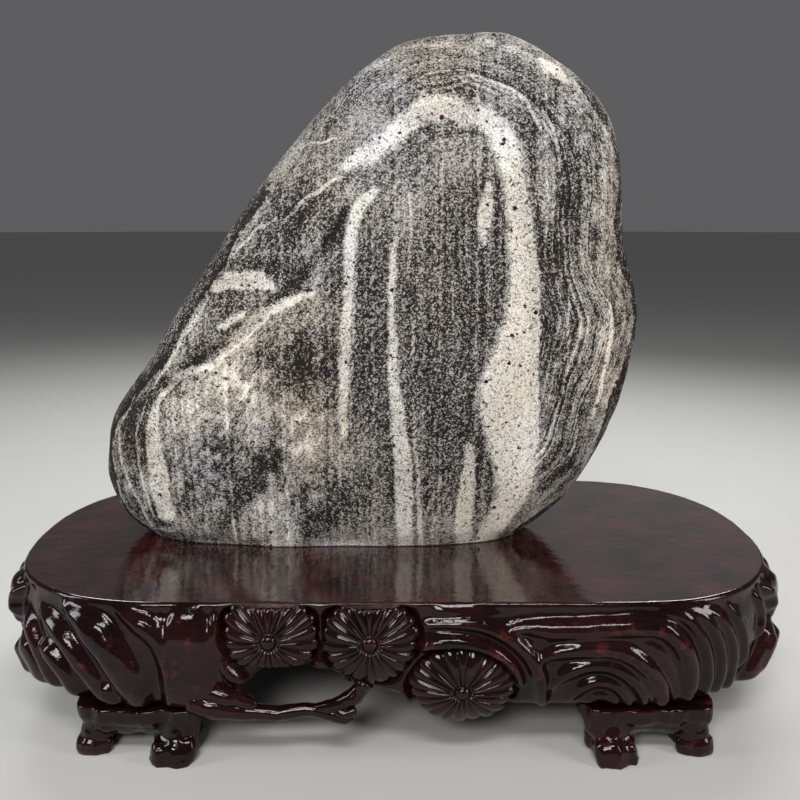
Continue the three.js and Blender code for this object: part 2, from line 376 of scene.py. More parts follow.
def plainStone():
    rows = throughRows(stoneShape["profile"], np.linspace(0, 1, stoneShape["rings"]))
    height, left, right, front, back = (column[:, None] for column in rows.T)
    across, inward = fullOval(columnAngles(), stoneShape["squareness"])
    widest = stoneShape["widestY"]
    x = (left + right) / 2 + across * (right - left) / 2
    y = widest + np.abs(inward) * (np.where(inward < 0, front, back) - widest)
    points = np.stack([x, y, height + 0 * x], -1)
    worn = wornStone(points)
    worn[..., 2] = points[..., 2]
    return worn


# outward direction of each point of a closed grid of rings
def gridNormals(grid):
    along = np.roll(grid, -1, axis=1) - np.roll(grid, 1, axis=1)
    up = np.gradient(grid, axis=0)
    normal = np.cross(along, up)
    return normal / (np.linalg.norm(normal, axis=-1, keepdims=True) + 1e-9)


# lays a flat route of (x, height, half width) on the front or back of the stone
def onStone(grid, route, front=True, finer=4):
    rows = np.array(route, float)
    if len(route) > 2:
        rows = throughRows(route, np.linspace(0, 1, (len(route) - 1) * finer + 1))
    flat = grid.reshape(-1, 3)
    side = flat[:, 1] < stoneShape["widestY"] + 1 if front else flat[:, 1] > stoneShape["widestY"] - 1
    facing = flat[side]
    laid = [facing[np.argmin((facing[:, 0] - x) ** 2 + (facing[:, 2] - z) ** 2)] for x, z, _ in rows]
    return np.column_stack([laid, rows[:, 2]])


# how deep each crease is, and how far every point of the grid lies inside it
def creasesOn(grid):
    places = grid.reshape(-1, 3)
    return [(hollow, insideStroke(places, onStone(grid, route))) for route, hollow in stoneShape["creases"]]


def bumpyStone():
    grid = plainStone()
    normals = gridNormals(grid)
    places = grid.reshape(-1, 3)
    stretched = places * stoneShape["bumpStretch"]
    depth = np.zeros(len(places))
    for index, (size, height) in enumerate(stoneShape["bumps"]):
        depth += height * softNoise(stretched, size, stoneShape["bumpSeed"] + index)
    for hollow, inside in creasesOn(grid):
        depth -= hollow * smoothStep(inside, *stoneShape["creaseSide"])
    depth = depth.reshape(grid.shape[:2])
    calm = np.ones(len(grid))
    calm[-stoneShape["calmRings"]:] = np.linspace(1, 0, stoneShape["calmRings"])
    moved = grid + normals * (depth * calm[:, None])[..., None] * stoneShape["bumpPush"]
    moved[0, :, 2] = 0
    moved[..., 2] = np.maximum.accumulate(np.maximum(moved[..., 2], 0), axis=0)
    return grid, moved


# stretches the points to fill the CAD piece's box exactly
def fillBox(points, low, high):
    lowest, highest = points.min(0), points.max(0)
    return low + (points - lowest) / (highest - lowest) * (high - low)


# pale veins and stripes on the front: x, height, half width
stoneVeins = dict(
    vein=[
        [(-27, 236, 4), (-14, 242, 6), (-1, 251, 6), (12, 262, 7), (24, 268, 8.5), (42, 265, 7),
         (56, 260, 7), (65, 246, 8), (72, 222, 7), (75, 195, 7.5), (77, 170, 8.5), (75, 145, 10),
         (72, 122, 14), (69, 98, 18), (72, 80, 16), (75, 61, 14), (76, 42, 11.5), (69, 22, 10), (60, 0, 8)],
    ],
    stripe=[
        [(66, 247, 1.5), (75, 222, 2.4), (80, 195, 2.6), (84, 170, 3), (85, 145, 2.6), (85, 120, 2.6),
         (86, 96, 3), (87, 70, 3), (86, 44, 2.4), (79, 22, 1.5)],
        [(56, 226, 1.5), (55, 214, 3.6), (53, 202, 4.2), (53, 192, 1.5)],
        [(-11, 222, 2.5), (-19, 212, 3.8), (-25, 190, 3.4), (-27, 150, 3.2), (-29, 112, 3.2), (-30, 76, 2)],
        [(2, 197, 0.5), (0, 180, 2.4), (-1, 160, 1.8), (0, 135, 2.4), (1, 102, 3.6), (5, 72, 5),
         (7, 35, 5.6), (8, 0, 4.5)],
        [(47, 70, 2.5), (46, 40, 5), (45, 12, 5), (46, 0, 4)],
        [(-108, 165, 3.5), (-97, 170, 5.5), (-82, 170, 5.5), (-72, 166, 2.5)],
        [(-88, 151, 1), (-96, 146, 2.8), (-105, 141, 1)],
        [(-46, 163, 1), (-60, 158, 3), (-76, 150, 4), (-90, 138, 4.4), (-104, 124, 3)],
        [(-110, 118, 2), (-128, 114, 2.8), (-140, 103, 2.4), (-145, 94, 2)],
        [(-146, 94, 2.5), (-149, 76, 5), (-148, 50, 7), (-146, 24, 6.5), (-145, 17, 3)],
        [(132, 154, 0.8), (134, 140, 1.8), (132, 118, 2.2), (129, 100, 1.8), (125, 86, 0.8)],
        [(88, 296, 2), (95, 291, 4.5), (104, 283, 2)],
    ],
    thread=[
        [(8, 228, 0.5), (10, 212, 0.7), (11, 196, 0.9), (9, 172, 0.5)],
        [(13, 150, 0.5), (12, 134, 0.8), (12, 118, 0.4)],
        [(12, 100, 0.4), (14, 70, 0.9), (16, 36, 1.4), (17, 0, 1.6)],
        [(-21, 190, 0.5), (-23, 150, 0.7), (-25, 110, 0.7), (-25, 84, 0.4)],
        [(18, 287, 0.5), (31, 290, 1), (42, 290, 0.7)],
        [(45, 287, 1), (58, 284, 1.4), (69, 279, 1.4), (78, 271, 1.5), (86, 256, 1)],
        [(88, 267, 0.6), (95, 255, 1), (98, 240, 1), (99, 226, 0.5)],
        [(104, 166, 0.4), (106, 140, 0.8), (106, 112, 0.5)],
        [(113, 90, 0.5), (115, 66, 0.9), (103, 50, 0.5)],
        [(-70, 206, 0.8), (-83, 199, 1.6), (-90, 192, 1.4), (-97, 184, 0.8)],
        [(-29, 230, 0.8), (-41, 223, 1.5), (-52, 216, 1.2), (-64, 206, 0.6)],
        [(-31, 253, 0.6), (-44, 251, 1), (-58, 249, 0.6)],
        [(-163, 98, 0.8), (-174, 78, 1), (-174, 58, 1), (-168, 38, 1.1), (-160, 16, 1.1), (-154, 0, 1)],
        [(-154, 92, 0.8), (-161, 77, 1), (-162, 56, 1), (-158, 32, 1), (-153, 14, 1)],
        [(-112, 159, 0.8), (-120, 146, 2), (-132, 131, 1.8), (-141, 116, 1.6), (-150, 103, 1)],
    ],
)
# the unseen back, in the same manner
stoneVeinsBehind = dict(
    vein=[[(96, 236, 2), (84, 205, 6), (70, 168, 9), (62, 128, 7), (66, 88, 10), (76, 50, 8), (74, 0, 6)]],
    stripe=[
        [(30, 296, 1.5), (12, 262, 3), (2, 214, 4), (-4, 166, 3), (-3, 112, 4.5), (-12, 58, 4), (-16, 0, 3)],
        [(-56, 214, 1), (-68, 176, 3), (-78, 132, 3.6), (-96, 86, 3), (-104, 44, 3)],
        [(126, 176, 1), (130, 140, 2.4), (124, 96, 2), (108, 50, 1)],
    ],
    thread=[
        [(14, 240, 0.5), (8, 190, 0.9), (10, 130, 1), (4, 70, 0.8)],
        [(-84, 196, 0.5), (-100, 154, 1), (-126, 112, 1.2), (-148, 70, 1), (-156, 24, 0.8)],
        [(52, 284, 0.6), (76, 262, 1), (98, 224, 1.2), (110, 180, 0.8)],
        [(96, 120, 0.6), (98, 80, 1), (88, 30, 0.8)],
    ],
)

# paler and darker patches on the front: partly the rock's own markings and partly painted light and shade
# that evens out how brightly the lamps light each region, mostly paler at the lower left: x, height, half
# width, half height, paleness
stoneMarkingsAndPaintedLight = [
    # top, and round the vein's arch
    (40, 240, 26, 18, 0.22), (6, 216, 16, 22, 0.16), (-14, 262, 28, 15, 0.27), (46, 304, 64, 14, 0.26),
    (14, 260, 13, 7, -0.2), (60, 282, 40, 10, 0.14), (94, 260, 16, 18, 0.15), (-4, 270, 9, 9, -0.1),
    (-3, 296, 13, 6, 0.2), (-28, 222, 20, 22, 0.14), (22, 279, 16, 5, -0.1), (92, 292, 12, 6, 0.2),
    (-2, 282, 18, 7, 0.2), (34, 265, 24, 7, -0.17), (66, 240, 9, 16, 0.12), (68, 272, 16, 10, 0.2),
    (-24, 170, 5, 50, 0.06),
    # slope at the upper left
    (-46, 184, 10, 20, 0.26), (-60, 199, 16, 8, -0.08), (-50, 236, 30, 20, 0.12), (-100, 176, 13, 20, 0.13),
    (-116, 143, 13, 14, 0.3), (-58, 150, 26, 16, 0.2), (-132, 122, 10, 12, 0.12), (-92, 170, 16, 6, -0.18),
    # lobe at the lower left, painted paler in part as painted light where the lamps reach it less
    (-92, 110, 24, 22, 0.36), (-132, 84, 15, 30, 0.26), (-104, 86, 28, 22, 0.3), (-74, 92, 18, 16, 0.12),
    (-90, 58, 14, 18, 0.11), (-44, 74, 22, 26, 0.3), (-54, 116, 13, 12, -0.12), (-104, 20, 40, 24, 0.24),
    (-52, 28, 11, 16, -0.2), (-34, -3, 46, 12, 0.5), (-50, 100, 8, 8, -0.08),
    (-82, 78, 14, 11, 0.17), (-60, 70, 14, 9, 0.13), (-34, 62, 10, 9, 0.08),
    # foot of the stone and right flank
    (20, 14, 50, 18, 0.18), (52, 6, 16, 12, 0.14), (-8, 34, 8, 16, 0.08), (105, 226, 6, 28, -0.16),
    (90, 226, 8, 26, 0.28), (90, 50, 11, 52, 0.24), (128, 120, 16, 90, 0.17), (122, 215, 14, 50, 0.15),
]
# warm and cool tints: x, height, half width, half height, warmth
stoneTints = [
    (-92, 112, 26, 22, 0.9), (-48, 78, 22, 30, 0.7), (-140, 50, 18, 40, 0.5), (95, 289, 16, 10, 1.0),
    (75, 170, 12, 40, 0.5), (70, 90, 22, 40, 0.3), (138, 190, 14, 60, 0.6), (-110, 50, 20, 14, -0.9),
    (-70, 200, 34, 26, -0.7), (-4, 250, 26, 30, -0.6), (90, 262, 26, 22, -0.4), (36, 112, 22, 50, -0.4),
    (128, 100, 22, 60, 0.4), (60, 60, 30, 40, -0.1), (-12, 282, 24, 9, -0.8),
]


def patchSum(x, z, patches):
    total = np.zeros(len(x))
    for middleX, middleZ, halfX, halfZ, amount in patches:
        total += amount * np.exp(-((x - middleX) / halfX) ** 2 - ((z - middleZ) / halfZ) ** 2)
    return total


# distance of each place from the stone's outline as seen from the front
def fromOutline(places):
    rows = throughRows(stoneShape["profile"], np.linspace(0, 1, 160))
    outline = np.vstack([rows[:, [1, 0]], rows[:, [2, 0]]])
    best = np.full(len(places), 1e3)
    for x, z in outline:
        best = np.minimum(best, np.hypot(places[:, 0] - x, places[:, 2] - z))
    return best


# where each kind of marking lies on the stone in mm, how strong it is, and its noise
stonePaint = dict(
    veinReach=12.0,  # how far from its edge a vein can still be blended
    frontReach=22, frontBlend=34,  # the front's markings fade out this far behind the widest line
    bandLean=0.45, bandLeanBehind=0.5, leanBehindFrom=10, bandsInside=0.25, bandsBehind=0.45,
    flank=(78, 96), rimWidth=22, rimBlend=14, edge=(-10, -1), calmEdge=0.45,
    upperFlank=(150, 190), calmUpperFlank=0.35, crown=(262, 285), crownBands=0.6,
    lobeX=(20, 50), lobeTop=(-150, -120), lobeSlant=(0.8, 0.6, 0.35),
    # the last value here paints the whole back paler: painted light where the lamps leave the back in shade
    upright=(1, 1, 0.45), creaseShade=0.07, paintedLightBehind=0.17,
    # noise: amount, size across and seed
    bandWander=[(2.5, 45, 31), (1.2, 18, 32)], bandWanderBehind=[(9, 80, 33), (4, 36, 34)],
    blotches=[(0.13, 6.5, 45), (0.08, 3.6, 46)], longBlotch=(0.2, 13, 44),
    grainy=(0.1, 3.4, 49), grainyUpright=(0.12, 5, 48), cloudyFine=(0.05, 9, 47),
    cloudy=(0.07, 40, 41), cloudyBehind=(0.2, 55, 51), warmth=(0.5, 38, 61),
)


# gives each point a value, and the middles of the lowest and highest fans another
def paint(thing, name, values, ends=0):
    setValues(thing, name, np.append(values, [ends, ends]))


def paintVeins(thing, plainGrid):
    places = plainGrid.reshape(-1, 3)
    reach = stonePaint["veinReach"]
    for name in stoneVeins:
        inside = np.full(len(places), -reach)
        for routes, front in ((stoneVeins[name], True), (stoneVeinsBehind[name], False)):
            for route in routes:
                inside = np.maximum(inside, insideStroke(places, onStone(plainGrid, route, front)))
        paint(thing, name, np.clip(inside, -reach, reach), -reach)


# the bands follow the outline: `flow` is the place across them and `banded` their strength
def paintBands(thing, places, front, flank):
    look = stonePaint
    _, y, z = places.T
    rim = fromOutline(places)
    flow = rim + look["bandLean"] * y + look["bandLeanBehind"] * np.maximum(y - look["leanBehindFrom"], 0)
    flow += noiseSum(places, *look["bandWander"])
    flow += (1 - front) * noiseSum(places, *look["bandWanderBehind"])
    paint(thing, "flow", flow)
    nearRim = smoothStep(look["rimWidth"] - rim, 0, look["rimBlend"])
    banded = np.maximum(flank, np.maximum(nearRim, look["bandsInside"]))
    banded *= 1 - look["calmUpperFlank"] * flank * smoothStep(z, *look["upperFlank"])
    banded = np.maximum(banded, look["crownBands"] * smoothStep(z, *look["crown"]))
    banded *= 1 - look["calmEdge"] * smoothStep(-rim, *look["edge"])
    behind = look["bandsBehind"]
    paint(thing, "banded", front * banded + (1 - front) * behind, behind)


def creaseShade(grid):
    shades = [hollow * smoothStep(inside, -2, 2) for hollow, inside in creasesOn(grid)]
    return stonePaint["creaseShade"] * np.max(shades, axis=0)


# blotches at the lower left, some of them long and lying at a slant
def lobeBlotches(places):
    x, y, z = places.T
    lengthwise, crosswise, stretch = stonePaint["lobeSlant"]
    slanted = np.column_stack([x * lengthwise - z * crosswise, y, stretch * (x * crosswise + z * lengthwise)])
    lobe = smoothStep(-x, *stonePaint["lobeX"]) * smoothStep(-z, *stonePaint["lobeTop"])
    return lobe * (noiseSum(slanted, stonePaint["longBlotch"]) + noiseSum(places, *stonePaint["blotches"]))


def paintStone(thing, plainGrid):
    look = stonePaint
    places = plainGrid.reshape(-1, 3)
    x, y, z = places.T
    front = smoothStep(stoneShape["widestY"] + look["frontReach"] - y, 0, look["frontBlend"])
    flank = smoothStep(x, *look["flank"])
    paintVeins(thing, plainGrid)
    paintBands(thing, places, front, flank)
    stretched = places * look["upright"]
    cloudy = layeredNoise(stretched, *look["cloudy"]) + noiseSum(stretched, look["cloudyFine"])
    grainy = noiseSum(stretched, look["grainyUpright"]) + noiseSum(places, look["grainy"])
    cloudy = cloudy + lobeBlotches(places) + flank * grainy - creaseShade(plainGrid)
    # the back's tone is random cloud plus a painted lift of light for the shade it sits in
    behind = layeredNoise(stretched, *look["cloudyBehind"]) + look["paintedLightBehind"]
    # the tone holds the rock's cloudy markings together with painted shade in the creases and painted light
    # and shade in the front patches
    paint(thing, "tone", cloudy + front * patchSum(x, z, stoneMarkingsAndPaintedLight) + (1 - front) * behind)
    paint(thing, "warmth", front * patchSum(x, z, stoneTints) + layeredNoise(places, *look["warmth"]))


stoneLook = dict(
    field=0.292, toneInVeins=0.6, bandContrast=1.9, streakContrast=0.7, streakLossInBands=0.75,
    # how far the edge noise moves the bands and streaks, in mm, and how much of it is broad
    bandRagged=4.5, streakRagged=9.0, broadShare=0.35,
    # how pale each kind of vein is, how far its edge wanders and how soft the edge is, in mm
    veins=dict(vein=(0.72, 13.0, 3.4), stripe=(0.67, 3.2, 1.3), thread=(0.60, 2.0, 0.7)),
    # scale per mm, detail and roughness of each noise
    bands=(0.3, 4.0, 0.76), streaks=(0.28, 3.0, 0.7), fine=(0.9, 3.0, 0.6), ragged=(0.26, 5.0, 0.68),
    broad=(0.075, 3.0, 0.6), clusters=(0.42, 2.0, 0.5), pits=(0.55, 4.0, 0.6),
    # mineral grains per mm; shares of half-size grains and fine noise in each grain's number
    grainScale=1.1, smallShare=0.4, fineShare=0.2, spread=1.5, grainEdge=(-0.12, 0.09),
    clusterEdge=(0.57, 0.7), clusterDark=0.32, speckDark=0.7, speckSpacing=7.0, speckRadius=(1.33, 0.285),
    speckRagged=2.4, speckEdge=(-0.2, 0.35), specksShow=(0.5, 0.65),
    # how light the pale grains are, as a factor and a start, and again for the palest rock
    lightness=(0.5, 0.16), palest=(0.95, -0.57), grainLight=(0.78, 1.2),
    grainWarmth=0.8, warmthEnds=(-0.8, 1.6),
    darkest=(0.0045, 0.004, 0.004), darker=(0.021, 0.016, 0.0135), darkLifted=(0.3, 0.55, 0.0, 0.26),
    specular=0.12, roughness=(0.62, 0.86), grainRelief=0.35, pitDepth=0.0005, pitStrength=0.5,
    # colours of the pale grains, from cool to warm
    tints=[(0.0, (0.94, 0.93, 0.99)), (0.35, (1.0, 0.965, 0.915)),
           (0.6, (1.0, 0.935, 0.83)), (1.0, (1.0, 0.83, 0.69))],
)


# how pale the rock is at each place, from its tone, bands, streaks and veins
def stonePaleness(tree, places, edge):
    look = stoneLook
    tone, banded = readValue(tree, "tone"), readValue(tree, "banded")
    flow = plus(readValue(tree, "flow"), times(edge, look["bandRagged"]))
    bandTone = times(minus(noiseValue(flow, *look["bands"], "1D"), 0.5), banded)
    across = plus(addNode("ShaderNodeSeparateXYZ", {0: places}).outputs[0], times(edge, look["streakRagged"]))
    streakTone = times(minus(noiseValue(across, *look["streaks"], "1D"), 0.5), look["streakContrast"])
    streakTone = times(streakTone, timesPlus(banded, -look["streakLossInBands"], 1.0))
    paleness = plus(plus(plus(tone, look["field"]), times(bandTone, look["bandContrast"])), streakTone)
    for name, (level, wander, blur) in look["veins"].items():
        inside = plus(readValue(tree, name), times(edge, wander))
        level = plus(times(tone, look["toneInVeins"]), level)
        paleness = mixValues(remap(inside, -blur, blur), paleness, level)
    return paleness


# random cells with the distance to each cell's middle and its three random numbers
def cellValues(places, scale):
    cells = addNode("ShaderNodeTexVoronoi", {"Vector": places, "Scale": scale, "Randomness": 1.0})
    random = addNode("ShaderNodeSeparateColor", {0: cells.outputs["Color"]}).outputs
    return cells.outputs["Distance"], random


# ragged specks a few grains wide, which show up in the veins
def darkSpecks(places, edge, fine, paleness):
    spacing, ragged = stoneLook["speckSpacing"], stoneLook["speckRagged"]
    bent = addNode("ShaderNodeVectorMath", {0: places, 1: edge}, operation="ADD").outputs[0]
    distance, random = cellValues(bent, 1 / spacing)
    reach = plus(times(distance, spacing), timesPlus(fine, ragged, -ragged / 2))
    radius = timesPlus(random[0], *stoneLook["speckRadius"])
    isSpeck = remap(minus(radius, reach), *stoneLook["speckEdge"])
    return times(isSpeck, remap(paleness, *stoneLook["specksShow"]))


# colour of the pale grains, from how pale the rock is and how warm
def paleGrainColour(tree, paleness, random):
    look = stoneLook
    palest = maths("MAXIMUM", timesPlus(paleness, *look["palest"]), 0.0)
    lightness = plus(timesPlus(paleness, *look["lightness"]), palest)
    lightness = times(lightness, remap(random[1], 0, 1, *look["grainLight"], "LINEAR"))
    grey = addNode("ShaderNodeCombineColor", {0: lightness, 1: lightness, 2: lightness}).outputs[0]
    warmth = plus(readValue(tree, "warmth"), times(random[2], look["grainWarmth"]))
    tint = addNode("ShaderNodeValToRGB", {0: remap(warmth, *look["warmthEnds"], way="LINEAR")})
    stops = tint.color_ramp.elements
    for place, _ in look["tints"][1:-1]:
        stops.new(place)
    for stop, (_, colour) in zip(stops, look["tints"]):
        stop.color = (*colour, 1)
    return mixColours(1.0, grey, tint.outputs[0], "MULTIPLY")


def stoneMaterial():
    look = stoneLook
    material, tree, shader = newMaterial("bandedGneiss")
    places = placesInMm(tree)
    fine = noiseValue(places, *look["fine"])
    ragged, broad = noiseValue(places, *look["ragged"]), noiseValue(places, *look["broad"])
    edge = minus(mixValues(look["broadShare"], ragged, broad), 0.5)
    paleness = stonePaleness(tree, places, edge)
    # every mineral grain has its own random number; it is pale where that is under the paleness
    distance, random = cellValues(places, look["grainScale"])
    _, smallRandom = cellValues(places, look["grainScale"] * 2)
    chance = mixValues(look["smallShare"], random[0], smallRandom[0])
    chance = mixValues(look["fineShare"], chance, fine)
    chance = timesPlus(chance, look["spread"], (1 - look["spread"]) / 2)
    clusters = remap(noiseValue(places, *look["clusters"]), *look["clusterEdge"])
    specks = darkSpecks(places, edge, fine, paleness)
    chance = plus(plus(chance, times(clusters, look["clusterDark"])), times(specks, look["speckDark"]))
    isPale = remap(minus(paleness, chance), *look["grainEdge"])
    paleColour = paleGrainColour(tree, paleness, random)
    darkColour = mixColours(smallRandom[1], (*look["darkest"], 1), (*look["darker"], 1))
    # dark grains are lighter in pale rock, but not in clusters and specks
    plain = minus(1.0, maths("MAXIMUM", specks, clusters))
    lifting = times(remap(paleness, *look["darkLifted"]), plain)
    darkColour = mixColours(lifting, darkColour, paleColour)
    relief = plus(times(distance, look["grainRelief"]), noiseValue(places, *look["pits"]))
    setSockets(shader, {
        "Base Color": mixColours(isPale, darkColour, paleColour),
        "Roughness": remap(random[2], 0, 1, *look["roughness"], "LINEAR"),
        "Specular IOR Level": look["specular"],
        "Normal": bumped(relief, look["pitStrength"], look["pitDepth"]),
    })
    return material


def makeStone():
    plainGrid, grid = bumpyStone()
    rings, columns = grid.shape[:2]
    points = fillBox(grid.reshape(-1, 3), *stoneBox)
    base = [points[:columns, 0].mean(), points[:columns, 1].mean(), stoneBox[0][2]]
    peak = points[-columns:].mean(0)
    stone = makeMesh("gneissStone", np.vstack([points, base, peak]), ringFaces(rings, columns))
    paintStone(stone, plainGrid)
    stone.data.materials.append(stoneMaterial())
    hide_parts("stone")
    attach(stone, "root")
    print("stone made with", len(stone.data.polygons), "faces")


makeStone()


standShape = dict(
    height=95, halfStraight=128, endReach=107, halfDepth=114, endPower=2.3, bottom=30, slab=18, skirt=20,
    bellyOut=5, footTuck=3, underRound=6, underTurn=5, lipRadius=1.8, lipFade=7,
    frontColumn=1.05, backColumn=2.0, sideRows=54, ground=-1.2,
    # noise: amount, size across, seed and layers
    carveNoise=(0.4, 15, 77, 3), edgeWander=(0.7, 30, 73, 3),
    underLift=1.2, underWaves=(1.2, 14, 71), archWaves=0.8, lipTurns=(25, 50, 75, 90),
    # a roll is thin at its ends: shares of its length, thinnest share, and how round it is
    rollStart=0.25, rollEnd=0.3, rollPast=1.15, rollThinnest=0.12, taperPower=0.6, roundPower=0.62,
    # carved rolls: half width and rise, then the route as distance along the edge and height
    rolls=[
        (5.8, 4.8, [(56, 80), (72, 82), (88, 81), (112, 82), (134, 83), (148, 80), (158, 69),
                    (164, 52), (166, 32)]),
        (3.6, 2.8, [(142, 91), (159, 86), (169, 73), (175, 54), (177, 32)]),
        (3.6, 2.8, [(154, 92), (170, 85), (180, 70), (185, 50), (187, 32)]),
        (3.4, 2.6, [(166, 92), (181, 83), (190, 67), (195, 46), (197, 32)]),
        (3.2, 2.4, [(186, 91), (196, 78), (202, 62), (204, 48)]),
        (5.6, 4.8, [(78, 61), (88, 68), (106, 71), (123, 69.5), (136, 61), (145, 49), (149, 38), (150, 30)]),
        (4.5, 1.2, [(66, 69), (82, 75), (105, 77), (128, 76), (143, 68), (153, 53), (158, 40), (159, 30)]),
        (4.6, 3.6, [(86, 42), (92, 53), (104, 60), (118, 60), (129, 53), (137, 43), (141, 31)]),
        (4, 3, [(97, 34), (102, 44), (112, 50), (123, 46), (130, 36), (132, 30)]),
        (3.6, 2.2, [(107, 32), (113, 40), (121, 37), (124, 31)]),
        (4.8, 6, [(7, 66), (18, 73), (31, 75), (44, 73), (56, 67), (64, 59), (69, 49)]),
        (4.4, 3.8, [(10, 82), (30, 84), (48, 83), (62, 77), (72, 68), (79, 56), (82, 42), (83, 31)]),
        (3, 2.2, [(58, 88), (40, 91), (22, 91)]),
        (15, 5, [(-112, 98), (-113, 70), (-112, 48), (-118, 28)]),
        (5, 3.4, [(-98, 92), (-96, 74), (-90, 58), (-84, 50)]),
        (3, 2.4, [(-128, 90), (-122, 70), (-121, 48), (-126, 30)]),
        (6, 4.6, [(-152, 91), (-140, 85.5), (-130, 78), (-124, 66), (-122, 50), (-125, 32)]),
        (10, 6, [(-186, 89), (-168, 81), (-158, 71), (-150, 58), (-145, 46), (-143, 30)]),
        (6.2, 4.6, [(-206, 82), (-192, 76), (-180, 67), (-171, 54), (-165, 42), (-162, 30)]),
        (6.4, 5.4, [(-205, 63), (-196, 59), (-188, 50), (-184, 41), (-182, 31)]),
        (5.4, 5, [(-222, 78), (-212, 66), (-204, 50), (-203, 31)]),
        (7, 5, [(-166, 46), (-160, 37), (-158, 29)]),
        (8.5, 6, [(-238, 92), (-247, 83), (-250, 72), (-244, 64)]),
        (4, 7, [(-232, 86), (-240, 78), (-238, 68)]),
        (11, 6.5, [(-232, 58), (-224, 48), (-217, 36), (-216, 29)]),
        (6, 8, [(-238, 54), (-231, 42), (-226, 31)]),
        (7, 5, [(-262, 92), (-272, 74), (-268, 52), (-256, 32)]),
        (6, 4.4, [(-278, 94), (-288, 72), (-284, 50), (-274, 30)]),
        (8.5, 5.5, [(236, 93), (248, 84), (253, 74), (247, 65)]),
        (4, 6.5, [(228, 88), (238, 80), (241, 70)]),
        (3.5, 6.5, [(252, 90), (258, 80), (256, 70)]),
        (10.5, 7, [(243, 63), (233, 52), (223, 40), (216, 29)]),
        (5, 9, [(247, 60), (240, 48), (231, 35)]),
        (4.5, 8.8, [(238, 60), (228, 49), (219, 36)]),
        (3.4, 3, [(214, 90), (221, 76), (218, 62)]),
        (7, 5, [(266, 93), (276, 74), (272, 52), (260, 32)]),
        (6, 4.4, [(284, 94), (292, 74), (288, 48), (278, 30)]),
        (14, 6, [(306, 80), (304, 56), (306, 32)]),
        (5, 7.5, [(298, 84), (296, 60), (300, 34)]),
        (14, 6, [(-306, 80), (-304, 56), (-306, 32)])],
    # underside of the skirt over the gap beneath the flowers
    arch=[(-99, 30), (-95, 34), (-87, 44), (-72, 53), (-50, 57),
          (-34, 54), (-26, 46), (-10, 43), (3, 38), (9, 30)],
)


# the edge as points, from the middle of the front round to the right, and how far along each is
def rimTable():
    x, y = fullOval(np.linspace(-0.5, 0.5, 3001) * math.pi, standShape["endPower"])
    depth = standShape["halfDepth"]
    right = np.column_stack([standShape["halfStraight"] + standShape["endReach"] * x, depth * y])
    loop = np.vstack([[[0, -depth]], right, [[0, depth]], -right, [[0, -depth]]])
    return loop, np.append(0, np.cumsum(np.linalg.norm(np.diff(loop, axis=0), axis=1)))


rimLoop, rimLengths = rimTable()
perimeter = rimLengths[-1]


def onRim(along):
    along = np.mod(along, perimeter)
    return np.column_stack([np.interp(along, rimLengths, rimLoop[:, k]) for k in (0, 1)])


# the same place in the front half's carving, which is repeated round the back
def folded(along):
    return np.mod(along + perimeter / 4, perimeter / 2) - perimeter / 4


# points at distances along the edge, moved out from it, at heights
def onEdge(along, outward, height):
    along, outward, height = np.broadcast_arrays(np.asarray(along, float), outward, height)
    tangent = unit(onRim(along + 1.5) - onRim(along - 1.5))
    facing = np.column_stack([tangent[:, 1], -tangent[:, 0]])
    return np.column_stack([onRim(along) + facing * outward[:, None], height])


# how far the side bulges out at a height
def swell(height):
    down = (standShape["height"] - height) / (standShape["height"] - standShape["bottom"])
    belly = standShape["bellyOut"] * np.sin(math.pi * np.clip(down, 0, 1))
    return belly - standShape["footTuck"] * down ** 3


# rise of one carved roll at flat places (along, height); it is round in section with tapered ends
def rollRise(places, halfWidth, rise, route):
    rows = throughRows(route, np.linspace(0, 1, 6 * len(route)))
    low, high = rows.min(0) - halfWidth, rows.max(0) + halfWidth
    near = np.all((places > low) & (places < high), axis=1)
    found = np.zeros(len(places))
    if not near.any():
        return found
    close = places[near]
    nearest = np.full(len(close), 1e3)
    step = np.zeros(len(close))
    for index, (start, end) in enumerate(zip(rows[:-1], rows[1:])):
        run = end - start
        part = np.clip((close - start) @ run / (run @ run), 0, 1)
        away = np.linalg.norm(close - start - part[:, None] * run, axis=1)
        step = np.where(away < nearest, index + part, step)
        nearest = np.minimum(nearest, away)
    shape, share = standShape, step / (len(rows) - 1)
    ends = np.minimum(share / shape["rollStart"], (shape["rollPast"] - share) / shape["rollEnd"])
    taper = np.clip(ends, shape["rollThinnest"], 1) ** shape["taperPower"]
    section = np.clip(1 - (nearest / (halfWidth * taper)) ** 2, 0, 1) ** shape["roundPower"]
    found[near] = rise * taper * section
    return found


# how far the carved side stands out from the rolls' ground
def carving(along, height):
    places = np.column_stack([folded(along), height])
    rise = np.zeros(len(places))
    for halfWidth, high, route in standShape["rolls"]:
        rise = np.maximum(rise, rollRise(places, halfWidth, high, route))
    return rise


# depth of the pockets that the flowers sit in
def flowerPockets(along, height):
    depth = np.zeros(len(along))
    for middle, _, level, radius, _, _, _, tall in daisyShape["places"]:
        inside = radius + 2 - np.hypot(folded(along) - middle, (height - level) / tall)
        depth = np.maximum(depth, daisyShape["pocket"] * smoothStep(inside, -1, 4))
    return depth


def archUnderside(along):
    arch = np.array(standShape["arch"], float)
    wavy = noiseSum(np.column_stack([along, along * 0, along * 0]), standShape["underWaves"])
    outside = standShape["bottom"] + standShape["underLift"] + wavy
    over = np.interp(folded(along), arch[:, 0], arch[:, 1]) + standShape["archWaves"] * wavy
    return np.maximum(outside, over)


# evens out the small steps in a closed grid of rings
def softened(grid):
    grid = (np.roll(grid, 1, axis=1) + 2 * grid + np.roll(grid, -1, axis=1)) / 4
    inner = (grid[:-2] + 2 * grid[1:-1] + grid[2:]) / 4
    return np.vstack([grid[:1], inner, grid[-1:]])


